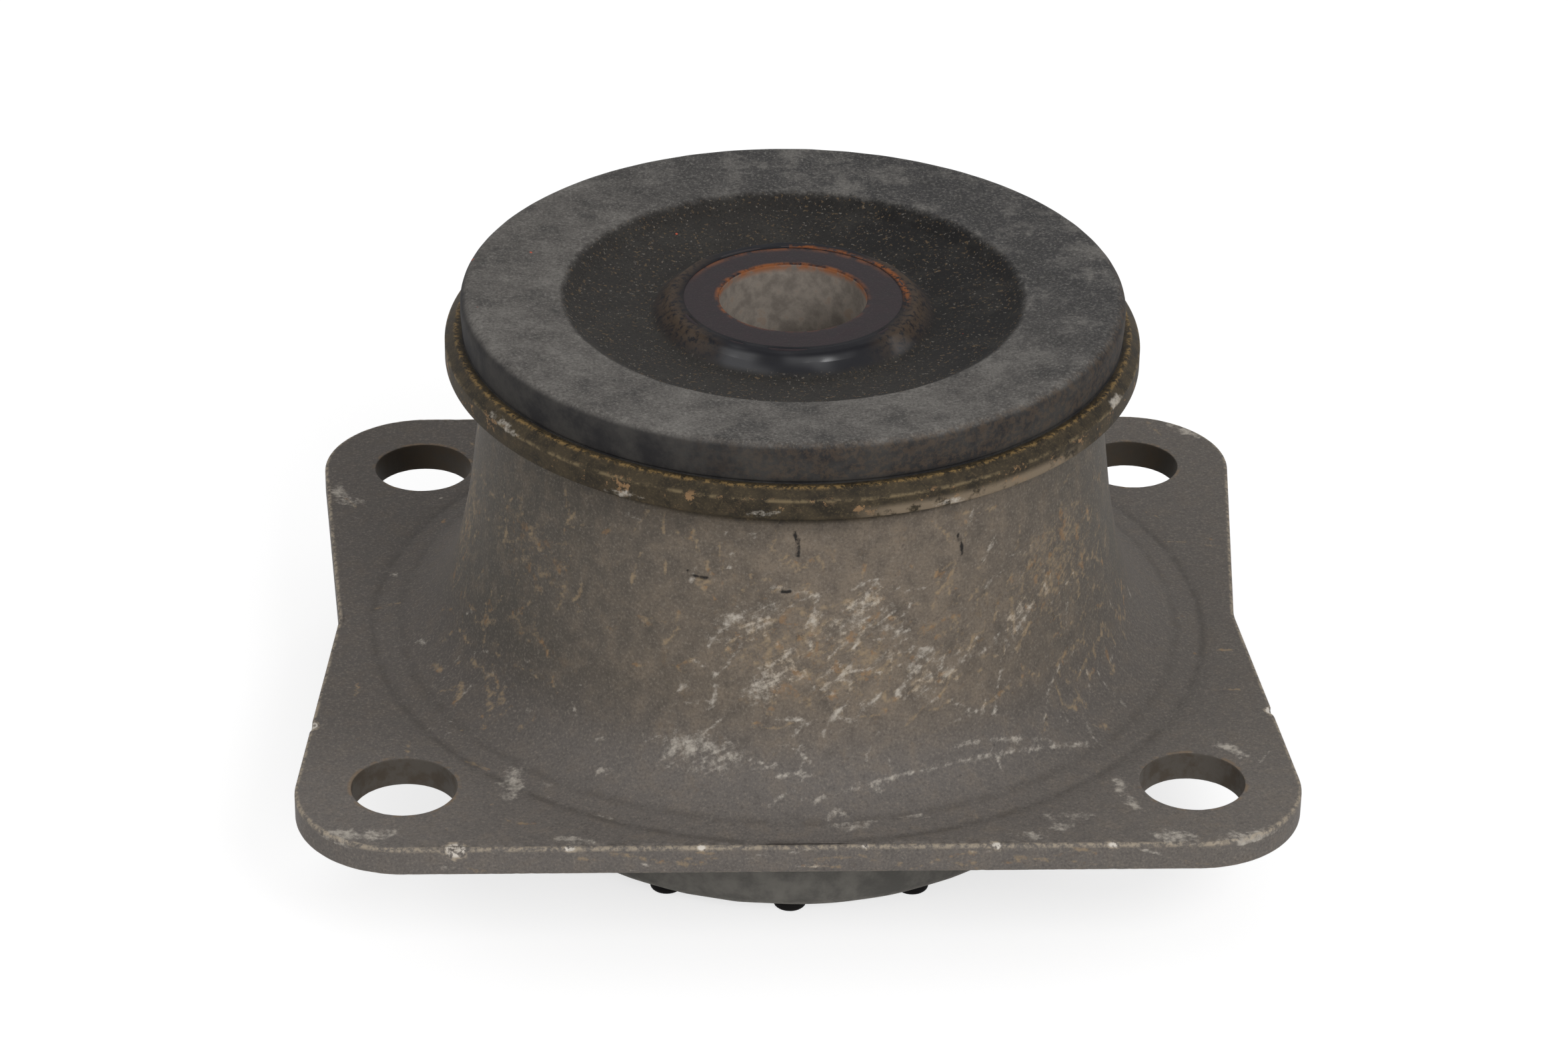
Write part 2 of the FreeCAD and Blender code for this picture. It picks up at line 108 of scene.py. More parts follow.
def rounded_path(corners, arc_step=18.0):
    """Polyline through (x, y, radius) corners, each turned with its own round."""
    points = [Vector(corners[0][:2])]
    for before, corner, after in zip(corners, corners[1:], corners[2:]):
        here = Vector(corner[:2])
        back, ahead = Vector(before[:2]) - here, Vector(after[:2]) - here
        radius = corner[2]
        if radius <= 0:
            points.append(here)
            continue
        back.normalize()
        ahead.normalize()
        half = back.angle(ahead) / 2
        reach = radius / math.tan(half)
        centre = here + (back + ahead).normalized() * (radius / math.sin(half))
        first, last = here + back * reach - centre, here + ahead * reach - centre
        turn = first.angle_signed(last)
        count = max(2, int(math.ceil(abs(math.degrees(turn)) / arc_step)))
        start = math.atan2(first.y, first.x)
        points += arc_points(centre, radius, start, start - turn, count)
    points.append(Vector(corners[-1][:2]))
    return points


def refined(points, spacing):
    """The same polyline with no step longer than the spacing."""
    result = [points[0]]
    for first, last in zip(points, points[1:]):
        count = max(1, int(math.ceil((last - first).length / spacing)))
        result += [first.lerp(last, step / count) for step in range(1, count + 1)]
    return result


def wall_side(depth):
    """One side of the drawn wall, from the flange up to the top of its lip bend."""
    out = Vector((math.cos(TAPER), math.sin(TAPER)))
    up = Vector((-math.sin(TAPER), math.cos(TAPER)))
    neck_top = LIP_CENTRE - out * LIP_BEND
    offset = DRAW_CENTRE - neck_top
    rise = math.sqrt((FLARE_ROUND - DRAW_ROUND) ** 2 - (FLARE_ROUND - offset.dot(out)) ** 2)
    flare_centre = neck_top + out * FLARE_ROUND + up * (offset.dot(up) + rise)
    sight = DRAW_CENTRE - flare_centre
    draw_angle = math.atan2(sight.y, sight.x) % (2 * math.pi)
    draw = arc_points(DRAW_CENTRE, DRAW_ROUND + depth, 1.5 * math.pi, draw_angle, 18)
    flare = arc_points(flare_centre, FLARE_ROUND + depth, draw_angle, math.pi + TAPER, 9)
    bend = arc_points(LIP_CENTRE, LIP_BEND + depth, math.pi + TAPER, math.pi / 2, 12)
    return refined(draw + flare[1:] + bend, 2.0)


def flange_outline(inset):
    """Closed outline of the flange, moved in by the inset."""
    radius = CORNER_ROUND - inset
    corner = Vector((HALF_LENGTH - CORNER_ROUND, HALF_DEPTH - CORNER_ROUND))
    waist = Vector((HALF_WAIST + WAIST_ROUND, 0.0))
    between = waist - corner
    lean = (math.atan2(between.y, between.x)
            + math.acos((CORNER_ROUND + WAIST_ROUND) / between.length))
    quarter = arc_points(waist, WAIST_ROUND + inset, math.pi, math.pi + lean, 8)
    straight_start = quarter[-1]
    turned = arc_points(corner, radius, lean, math.pi / 2, 40)
    side_count, front_count = 60, 78
    quarter += [straight_start.lerp(turned[0], step / side_count) for step in range(1, side_count)]
    quarter += turned
    middle = Vector((0.0, turned[-1].y))
    quarter += [turned[-1].lerp(middle, step / front_count) for step in range(1, front_count)]
    loop = list(quarter)
    loop += [Vector((-p.x, p.y)) for p in reversed(quarter[1:])]
    loop.insert(len(quarter), middle)
    upper = loop
    lower = [Vector((p.x, -p.y)) for p in reversed(upper[1:-1])]
    return upper + lower


# ---- mesh code ----------------------------------------------------------------

def even_steps(count):
    return [2 * math.pi * step / count for step in range(count)]


def front_steps():
    """Steps round the axis, close together over the scuffed front half and wider behind."""
    fine_count, coarse_count = 272, 92
    front_start, front_stop = -185.0, 5.0
    fine = [front_start + (front_stop - front_start) * step / fine_count for step in range(fine_count)]
    coarse = [front_stop + (360.0 + front_start - front_stop) * step / coarse_count
              for step in range(coarse_count)]
    return [math.radians(turn) for turn in fine + coarse]


def ring_of(mesh, radius, height, steps, centre=(0.0, 0.0)):
    """A ring of vertices about a vertical axis."""
    return [mesh.verts.new((centre[0] + radius * math.cos(turn), centre[1] + radius * math.sin(turn), height))
            for turn in steps]


def bridge(mesh, first, second):
    """Quads between two rings with the same number of vertices."""
    count = len(first)
    for n in range(count):
        m = (n + 1) % count
        mesh.faces.new((first[n], first[m], second[m], second[n]))


def lathe(mesh, points, steps, centre=(0.0, 0.0), closed=False):
    """Turns a section about the vertical axis and gives its rings back."""
    rings = [ring_of(mesh, p.x, p.y, steps, centre) for p in points]
    for first, second in zip(rings, rings[1:]):
        bridge(mesh, first, second)
    if closed:
        bridge(mesh, rings[-1], rings[0])
    return rings


def finished(mesh, name, node, material):
    """Turns the mesh, drawn in millimetres, into a piece that stands for its node."""
    bmesh.ops.recalc_face_normals(mesh, faces=mesh.faces[:])
    bmesh.ops.scale(mesh, vec=(MM, MM, MM), verts=mesh.verts[:])
    for face in mesh.faces:
        face.smooth = True
    data = bpy.data.meshes.new(name)
    mesh.to_mesh(data)
    mesh.free()
    piece = bpy.data.objects.new(name, data)
    bpy.context.scene.collection.objects.link(piece)
    data.materials.append(material)
    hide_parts(node)
    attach(piece, "root")
    return piece


def smooth_bump(distance, reach):
    """1 at no distance, falling smoothly to 0 at the reach."""
    share = min(1.0, distance / reach)
    return (1.0 - share * share) ** 2


# ---- housing ------------------------------------------------------------------

def knocked_spots():
    """Dents drawn along the flange's edge, with reach and depth. The front's leftmost is the largest."""
    spots = []
    straight = HALF_LENGTH - CORNER_ROUND
    for end, count in ((-1, 6), (1, 3)):
        for number in range(count):
            share = 2 * (number + random.uniform(0.2, 0.8)) / count - 1
            place = Vector((share * straight, end * HALF_DEPTH, SHEET))
            reach, depth = random.uniform(0.6, 1.1), random.uniform(0.15, 0.35)
            if end < 0 and number == 0:
                reach, depth = 1.9, 0.8
            spots.append((place, reach, depth))
    half_width = outline_reach(0.0)
    for side in (-1, 1):
        y = -HOLE_Y * random.uniform(0.4, 0.7)
        place = Vector((side * half_width(y), y, SHEET))
        spots.append((place, random.uniform(1.2, 1.6), random.uniform(0.3, 0.5)))
    return spots


def turn_neck(mesh, wear):
    """The neck outside, over the lip's edge and down inside. Gives its rings in the flange's two faces."""
    lip = rounded_path([(LIP_CENTRE.x, LIP_TOP - SHEET, 0), (LIP_RADIUS, LIP_TOP - SHEET, 0.45),
                        (LIP_RADIUS, LIP_TOP - 1.35, 0.35), (48.15, LIP_TOP, 0.5),
                        (LIP_CENTRE.x, LIP_TOP, 0)])
    section = refined(wall_side(0.0), 0.62) + refined(lip, 0.6)[1:-1] + wall_side(SHEET)[::-1]
    rings = lathe(mesh, section, front_steps())
    for ring, point in zip(rings, section):
        if point.x > LIP_RADIUS - 0.3 and point.y > LIP_TOP - 3.5:
            for vert in ring:
                vert[wear] = 1.0
    return rings[0], rings[-1]


def roll_edge(mesh, wear):
    """The flange's rolled edge. Gives its loops in the flange's two faces."""
    top_round, bottom_round = 0.45, 0.65
    edge = rounded_path([(top_round + 0.3, SHEET, 0), (0, SHEET, top_round),
                         (0, 0, bottom_round), (bottom_round + 0.3, 0, 0)], 16.0)
    edge = refined(edge, 0.5)
    loops = [[mesh.verts.new((p.x, p.y, point.y)) for p in flange_outline(point.x)] for point in edge]
    for first, second in zip(loops, loops[1:]):
        bridge(mesh, first, second)
    for loop, point in zip(loops, edge):
        strength = smooth_bump(math.hypot(point.x, point.y - SHEET), 1.1)
        strength = max(strength, 0.8 * smooth_bump(math.hypot(point.x, point.y), 0.9))
        for vert in loop:
            vert[wear] = strength
    return loops[0], loops[-1]


def wall_holes(mesh):
    """The walls of the bolt holes. Gives their rings in the flange's two faces."""
    hole_edge = [Vector((HOLE_RADIUS - PAINT + p.x, p.y)) for p in rounded_path(
        [(0.5, SHEET, 0), (0, SHEET, 0.25), (0, 0, 0.25), (0.5, 0, 0)], 22.5)]
    walls = [lathe(mesh, refined(hole_edge, 1.0), even_steps(72), (x, y))
             for x in (-HOLE_X, HOLE_X) for y in (-HOLE_Y, HOLE_Y)]
    return [wall[0] for wall in walls], [wall[-1] for wall in walls]


def build_housing(material):
    mesh = bmesh.new()
    wear = mesh.verts.layers.float.new("edge_wear")
    mouth_top, mouth_bottom = turn_neck(mesh, wear)
    edge_top, edge_bottom = roll_edge(mesh, wear)
    hole_tops, hole_bottoms = wall_holes(mesh)
    fill_flat(mesh, [edge_top, mouth_top] + hole_tops, SHEET, 0.8)
    fill_flat(mesh, [edge_bottom, mouth_bottom] + hole_bottoms, 0.0, 2.5)
    dress_flange(mesh, wear, knocked_spots())
    piece = finished(mesh, "housing_skin", "outer_housing", material)
    paint_marks(piece.data)
    return piece


def outline_reach(inset):
    """How far out the flange reaches along X for each distance from its long axis."""
    loop = flange_outline(inset)
    quarter = sorted((p.y, p.x) for p in loop if p.x > 0.01 and p.y >= 0.0)
    ys, xs = [p[0] for p in quarter], [p[1] for p in quarter]
    return lambda y: float(np.interp(abs(y), ys, xs)) if abs(y) < ys[-1] else -1.0


def from_hole(spot):
    """Distance from the middle of the nearest bolt hole."""
    return math.hypot(abs(spot.x) - HOLE_X, abs(spot.y) - HOLE_Y)


def fill_flat(mesh, loops, height, spacing):
    """Even triangles between an outer loop and the loops inside it, at one height."""
    verts, edges = [], []
    for loop in loops:
        start = len(verts)
        verts += loop
        edges += [(start + n, start + (n + 1) % len(loop)) for n in range(len(loop))]
    points = [vert.co.to_2d() for vert in verts]
    reach = outline_reach(0.75 + 0.5 * spacing)
    grid = []
    rows, columns = int(HALF_DEPTH / spacing / 0.87) + 1, int(HALF_LENGTH / spacing) + 1
    for row in range(-rows, rows + 1):
        for column in range(-columns, columns + 1):
            spot = Vector((spacing * (column + 0.5 * (row % 2)), 0.87 * spacing * row))
            if (spot.length > DRAW_CENTRE.x + 0.6 * spacing and abs(spot.x) < reach(spot.y)
                    and from_hole(spot) > HOLE_RADIUS + 0.5 + 0.6 * spacing):
                grid.append(spot)
    found, _, faces, origins, _, _ = geometry.delaunay_2d_cdt(points + grid, edges, [], 0, 1e-5)
    loop_numbers = [number for number, loop in enumerate(loops) for _ in loop]
    placed, member = [], []
    for spot, origin in zip(found, origins):
        known = [number for number in origin if number < len(verts)]
        placed.append(verts[known[0]] if known else mesh.verts.new((spot.x, spot.y, height)))
        member.append(loop_numbers[known[0]] if known else -1)
    reach = outline_reach(0.7)
    for face in faces:
        on_loops = {member[n] for n in face}
        if len(on_loops) == 1 and on_loops.pop() > 0:
            continue
        middle = sum((found[n] for n in face), Vector((0.0, 0.0))) / len(face)
        if (middle.length > DRAW_CENTRE.x - 2.0 and abs(middle.x) < reach(middle.y)
                and from_hole(middle) > HOLE_RADIUS - 1.0):
            mesh.faces.new([placed[n] for n in face])


def dress_flange(mesh, wear, spots):
    """Knocks the nicks into the edge and takes the perfect line off the sheet."""
    for vert in mesh.verts:
        place = vert.co.copy()
        radius = math.hypot(place.x, place.y)
        if radius > 50.0 and place.z < 12.0:
            rough = noise.noise(place * 0.55) * 0.05 + noise.noise(place * 1.7 + Vector((9, 3, 1))) * 0.035
            rim = smooth_bump(HALF_DEPTH - abs(place.y), 2.0) if abs(place.x) < HALF_LENGTH else 0.0
            vert.co.z -= abs(rough) * (1.0 if place.z > 2.0 else -1.0) * 0.8
            vert.co.y -= math.copysign(abs(rough) * rim, place.y)
            if place.z > 3.0:
                crease = (math.exp(-((radius - DRAW_CENTRE.x) / 0.7) ** 2)
                          + 0.6 * math.exp(-((radius - INNER_CREASE) / 0.8) ** 2))
                vert.co.z -= 0.12 * crease
        for spot, reach, depth in spots:
            share = smooth_bump((place - spot).length, reach)
            if share > 0.0:
                ragged = 1.0 + 0.6 * noise.noise(place * 2.3)
                on_side = abs(spot.x) > HALF_WAIST
                inward = Vector((-math.copysign(1, spot.x) if on_side else 0.0,
                                 0.0 if on_side else -math.copysign(1, spot.y), -0.8))
                vert.co += inward * (share * depth * ragged)
                vert[wear] = max(vert[wear], 1.0 + share)


# ---- marks in the paint -------------------------------------------------------

# The neck's wear goes by even divisions of the neck, with more of it in those where the photograph
# shows more. The middle of each mark falls inside its part where the seeded draw puts it.

NECK_ARC = 47.0
NECK_GIRTH = 2 * math.pi * NECK_ARC
SECTOR = 30
THIRD = (LIP_CENTRE.y - SHEET) / 3
LOW, MIDDLE, HIGH = (SHEET + (count + 0.5) * THIRD for count in range(3))
BACK_EDGE = 4 * HALF_LENGTH
BLUR = 0.7


def cell(sector, height, sectors=1, thirds=1):
    """A part of the neck: its middle and its reach, each as degrees round from the front and height."""
    return (sector * SECTOR, height), (sectors * SECTOR / 2, thirds * THIRD / 2)


FRONT = cell(0, MIDDLE, 2, 2)
FRONT_RIGHT = cell(1, MIDDLE, 2, 2)
FRONT_TOP = cell(0, HIGH, 3)
FRONT_FOOT = cell(0, LOW, 3)
LEFT = cell(-2, MIDDLE, 2, 3)
RIGHT = cell(2, MIDDLE, 2, 3)
LEFT_FOOT = cell(-2, LOW, 2)
RIGHT_FOOT = cell(2, LOW, 2)
LEFT_EDGE = cell(-3, MIDDLE)
BACK = cell(6, MIDDLE, 7, 3)

# one set of sizes for each kind of mark, all round the neck
FINE, BOLD = (0.0, 0.2), (0.2, 0.5)
SHORT, LONG = (1, 5), (3, 8)
LEAN, STRAY = 30, 60
RUBBED, BROAD = (8, 3), (12, 8)

# scratches: part, count, range of lengths, range of widths, how they lean and stray, and strength
PALE_SCRATCHES = (
    (FRONT, 36, LONG, FINE, LEAN, STRAY, 0.88),
    (FRONT, 4, LONG, BOLD, LEAN, STRAY, 0.94),
    (FRONT_RIGHT, 36, LONG, FINE, LEAN, STRAY, 0.84),
    (FRONT_TOP, 8, SHORT, BOLD, LEAN, STRAY, 0.90),
    (FRONT_FOOT, 20, SHORT, FINE, LEAN, STRAY, 0.90),
    (FRONT_FOOT, 1, (30, 50), FINE, 0, 10, 0.96),
    (LEFT_FOOT, 12, SHORT, FINE, 0, 90, 0.84),
    (RIGHT_FOOT, 12, SHORT, FINE, 0, 90, 0.84),
    (BACK, 60, LONG, FINE, LEAN, 90, 0.84),
)
TAN_SCRATCHES = (
    (FRONT, 50, SHORT, FINE, LEAN, STRAY, 0.86),
    (FRONT_TOP, 40, SHORT, FINE, LEAN, 90, 0.88),
    (FRONT_RIGHT, 50, SHORT, FINE, LEAN, STRAY, 0.86),
    (LEFT, 60, SHORT, FINE, LEAN, 90, 0.84),
    (RIGHT, 60, SHORT, FINE, LEAN, 90, 0.86),
    (LEFT_FOOT, 25, SHORT, FINE, 0, 90, 0.84),
    (RIGHT_FOOT, 25, SHORT, FINE, 0, 90, 0.84),
    (BACK, 80, SHORT, FINE, LEAN, 90, 0.84),
)
DARK_FLECKS = (
    (FRONT_TOP, 4, SHORT, FINE, 0, 90, 1.05),
)
# rubbed patches: part, count, half length and half width, how they lean, and strength
PALE_PATCHES = (
    (FRONT, 3, RUBBED, LEAN, 0.72),
    (FRONT_RIGHT, 2, RUBBED, LEAN, 0.60),
    (FRONT_FOOT, 1, RUBBED, 0, 0.80),
    (LEFT_EDGE, 1, RUBBED, 90, 0.60),
    (BACK, 3, RUBBED, 0, 0.60),
)
TAN_PATCHES = (
    (FRONT, 2, BROAD, 0, 0.62),
    (RIGHT, 1, BROAD, 0, 0.66),
    (LEFT, 1, BROAD, 0, 0.48),
    (LEFT_EDGE, 1, BROAD, 90, 0.62),
    (BACK, 4, BROAD, 0, 0.56),
)


def offsets(flat, place, lean, girth):
    """Distances along and across a mark's own line, on the sheet laid flat."""
    along, up = flat[0] - place[0], flat[1] - place[1]
    if girth:
        along = (along + girth / 2) % girth - girth / 2
    cos, sin = math.cos(math.radians(lean)), math.sin(math.radians(lean))
    return along * cos + up * sin, up * cos - along * sin


def draw_stroke(field, flat, place, length, lean, width, bend, strength, girth=0.0):
    """Raises the field to the strength on a bent line, fading beside it."""
    along, across = offsets(flat, place, lean, girth)
    share = np.clip(2 * along / length, -1.0, 1.0)
    across = across - bend * (1.0 - share ** 2)
    distance = np.hypot(np.maximum(np.abs(along) - length / 2, 0.0), across)
    np.maximum(field, strength * np.clip(1.0 - (distance - width / 2) / BLUR, 0.0, 1.0), out=field)


def draw_patch(field, flat, place, size, lean, strength, girth=0.0):
    """Raises the field to the strength over a soft oval."""
    along, across = offsets(flat, place, lean, girth)
    near = (along / size[0]) ** 2 + (across / size[1]) ** 2
    np.maximum(field, strength * np.exp(-0.7 * near ** 1.5), out=field)


def drawn_place(part, spread=1.0):
    """A place in a part of the neck, likelier near its middle, in millimetres round and up."""
    turn, height = (middle + spread * reach * random.triangular(-1, 1, 0) for middle, reach in zip(*part))
    return math.radians(turn) * NECK_ARC, height


def strew_scratches(field, flat, scratches):
    for part, count, lengths, widths, lean, stray, strength in scratches:
        for _ in range(count):
            length = random.uniform(*lengths)
            draw_stroke(field, flat, drawn_place(part), length, lean + random.uniform(-stray, stray),
                        random.uniform(*widths), length * random.uniform(-0.12, 0.12),
                        strength * random.uniform(0.85, 1.05), NECK_GIRTH)


def strew_patches(field, flat, patches):
    for part, count, size, lean, strength in patches:
        for _ in range(count):
            draw_patch(field, flat, drawn_place(part, 0.6), size, lean + random.uniform(-10, 10), strength,
                       NECK_GIRTH)


def chip_lip(field, flat):
    """One chip in each sector of the lip's outer face, round the front."""
    for sector in range(-2, 3):
        turn = sector * SECTOR + random.uniform(-12, 12)
        place = math.radians(turn) * NECK_ARC, LIP_TOP - random.uniform(1.2, 3.8)
        draw_patch(field, flat, place, (random.uniform(2, 4), 0.7), random.uniform(-5, 5),
                   random.uniform(0.80, 1.05), NECK_GIRTH)


def smear_flange(field, flat):
    """Pale smears on the flat sheet, drawn by its holes, in its front corners and along its front edge."""
    for side in (-1, 1):
        for end in (-1, 1):
            turn = random.uniform(0, 2 * math.pi)
            place = (side * HOLE_X + 2 * HOLE_RADIUS * math.cos(turn),
                     end * HOLE_Y + 2 * HOLE_RADIUS * math.sin(turn))
            draw_patch(field, flat, place, (5, 2), math.degrees(turn) + 90, 0.92)
        corner = (side * (HALF_LENGTH - random.uniform(0.3, 1.0) * CORNER_ROUND),
                  -(HALF_DEPTH - random.uniform(0.1, 0.4) * CORNER_ROUND))
        draw_patch(field, flat, corner, (9, 2), random.uniform(-15, 15), 0.94)
    for _ in range(4):
        turn = random.uniform(0, 2 * math.pi)
        place = (HOLE_X + 1.4 * HOLE_RADIUS * math.cos(turn), -HOLE_Y + 1.4 * HOLE_RADIUS * math.sin(turn))
        draw_patch(field, flat, place, (3.5, 1.2), math.degrees(turn) + 90, 0.90)
    for _ in range(6):
        place = random.uniform(-1, 1) * (HOLE_X - 2 * HOLE_RADIUS), -(HALF_DEPTH - random.uniform(2, 8))
        draw_patch(field, flat, place, (random.uniform(3, 6), 1.2), random.uniform(-10, 10), 0.86)


def scratch_flat(field, flat, count):
    """Short scratches in every direction over the flat sheet."""
    across, deep = HALF_LENGTH - 4, HALF_DEPTH - 4
    for _ in range(count):
        place = random.uniform(-across, across), random.uniform(-deep, deep)
        draw_stroke(field, flat, place, random.uniform(1.5, 7.0), random.uniform(0, 180), 0.0,
                    random.uniform(-0.4, 0.4), random.uniform(0.7, 1.0))


def scratch_long_edges(field, face, count):
    """Scratches along the sheet's cut front and back edges, the back ones laid out past the front."""
    for _ in range(count):
        place = (random.choice((0, BACK_EDGE)) + random.uniform(-1, 1) * (HALF_LENGTH - CORNER_ROUND),
                 random.uniform(0.6, SHEET - 0.6))
        draw_stroke(field, face, place, random.uniform(1, 6), random.uniform(-25, 25), 0.0, 0.0,
                    random.uniform(0.7, 0.95))


def paint_marks(data):
    """Stores where the paint is scuffed pale, where it is rubbed tan and where it has dark flecks."""
    spots = np.empty(3 * len(data.vertices))
    data.vertices.foreach_get("co", spots)
    x, y, z = spots.reshape(-1, 3).T / MM
    neck = (np.arctan2(x, -y) * NECK_ARC, z)
    face = (x + np.where(y > 0, BACK_EDGE, 0), z)
    pale, tan, dark, flat_pale, flat_tan, edge_pale, edge_tan = np.zeros((7, len(x)))
    strew_scratches(pale, neck, PALE_SCRATCHES)
    strew_scratches(tan, neck, TAN_SCRATCHES)
    strew_scratches(dark, neck, DARK_FLECKS)
    strew_patches(pale, neck, PALE_PATCHES)
    strew_patches(tan, neck, TAN_PATCHES)
    chip_lip(pale, neck)
    smear_flange(flat_pale, (x, y))
    scratch_flat(flat_pale, (x, y), 60)
    scratch_flat(flat_tan, (x, y), 90)
    scratch_long_edges(edge_pale, face, 25)
    scratch_long_edges(edge_tan, face, 50)
    above = z > SHEET + 0.6
    on_edge = (np.abs(y) > HALF_DEPTH - 0.7) & (z < SHEET - 0.3)
    on_top = z > SHEET - 1.2
    for name, neck_field, edge_field, flat_field in (("scuffed_pale", pale, edge_pale, flat_pale),
                                                     ("rubbed_tan", tan, edge_tan, flat_tan),
                                                     ("flecked_dark", dark, 0.0, 0.0)):
        field = np.select([above, on_edge, on_top], [neck_field, edge_field, flat_field], 0.0)
        layer = data.attributes.new(name, "FLOAT", "POINT")
        layer.data.foreach_set("value", field.astype(np.float32))


# ---- rubber and sleeve --------------------------------------------------------

def turn_moulding(mesh):
    """The rubber's whole section, from the lip over the disc, down the sleeve and round the foot."""
    top = [(LIP_CENTRE.x - 0.6, LIP_TOP + 0.05, 0), (DISC_RADIUS - 0.25, LIP_TOP + 0.1, 0.5),
           (DISC_RADIUS, LIP_TOP + 2.9, 9.0), (DISC_RADIUS, DISC_TOP, 1.6),
           (DISH_RADIUS, 57.9, 0.8), (30.6, 56.1, 1.4), (20.4, 54.4, 1.8), (COLLAR_RADIUS, 56.2, 1.0),
           (17.6, SLEEVE_TOP + 0.06, 0.9), (FILM_RADIUS, SLEEVE_TOP + 0.06, 0)]
    bonded, inner_end = SLEEVE_RADIUS - 0.05, -17.2
    inner = [Vector((FILM_RADIUS, SLEEVE_TOP + 0.01)), Vector((SLEEVE_RADIUS - 0.9, SLEEVE_TOP + 0.01)),
             Vector((bonded, SLEEVE_TOP - 0.95)), Vector((bonded, inner_end))]
    foot = [(bonded, inner_end, 0), (19.6, FOOT_BOTTOM + 4.3, 1.0), (31.0, FOOT_BOTTOM + 2.5, 2.0),
            (33.0, FOOT_BOTTOM, 1.0), (FOOT_RADIUS, FOOT_BOTTOM, 3.5), (FOOT_RADIUS, 9.0, 0.8),
            (47.5, 9.2, 0)]
    wall = [p + Vector((-0.03, 0.0)) for p in wall_side(SHEET) if p.x < 47.5]
    section = refined(wall + rounded_path(top, 12.0) + inner + rounded_path(foot, 12.0)[1:], 1.6)
    lathe(mesh, section, even_steps(320), closed=True)


def sag_rubber(mesh):
    """Takes the perfect turned form off the disc, the film on the sleeve and the foot."""
    for vert in mesh.verts:
        radius = math.hypot(vert.co.x, vert.co.y)
        soft = smooth_bump(abs(vert.co.z - 57.0), 5.0) if radius > COLLAR_RADIUS else 0.0
        sag = noise.noise(vert.co * 0.06) * 0.10 + noise.noise(vert.co * 0.35 + Vector((5, 0, 2))) * 0.05
        vert.co.z -= soft * abs(sag)
        if 16.2 < radius < 19.5 and vert.co.z > 54.0:
            vert.co.z -= 0.35 * abs(noise.noise(vert.co * 0.22 + Vector((1, 7, 3))))
        if vert.co.z < 0 and radius > 20:
            vert.co.z += abs(noise.noise(vert.co * 0.12)) * 0.2


def add_nubs(mesh):
    """The ring of nubs under the foot."""
    near_axis, nub_top = 0.0001, FOOT_BOTTOM + 0.4
    for number in range(NUB_COUNT):
        angle = 2 * math.pi * number / NUB_COUNT + NUB_TURN
        centre = (NUB_CIRCLE * math.cos(angle), NUB_CIRCLE * math.sin(angle))
        nub = rounded_path([(near_axis, NUB_BOTTOM, 0), (NUB_RADIUS, NUB_BOTTOM, 0.55),
                            (NUB_RADIUS, nub_top, 0), (near_axis, nub_top, 0)], 20.0)
        lathe(mesh, nub, even_steps(32), centre)


def build_rubber(material):
    mesh = bmesh.new()
    turn_moulding(mesh)
    sag_rubber(mesh)
    add_nubs(mesh)
    bmesh.ops.remove_doubles(mesh, verts=mesh.verts[:], dist=0.001)
    return finished(mesh, "rubber_moulding", "rubber_element", material)


def build_sleeve(material):
    """The sleeve, its outline starting and ending part way down the bore."""
    mesh = bmesh.new()
    section = rounded_path([
        (BORE_RADIUS, 20.0, 0), (BORE_RADIUS, SLEEVE_TOP, 0.4), (SLEEVE_RADIUS, SLEEVE_TOP, 0.9),
        (SLEEVE_RADIUS, SLEEVE_BOTTOM, 0.6), (BORE_RADIUS, SLEEVE_BOTTOM, 0.6), (BORE_RADIUS, 19.9, 0)], 15.0)
    lathe(mesh, refined(section, 1.5), even_steps(192))
    bmesh.ops.remove_doubles(mesh, verts=mesh.verts[:], dist=0.001)
    return finished(mesh, "sleeve_tube", "inner_sleeve", material)


# ---- material graphs ----------------------------------------------------------

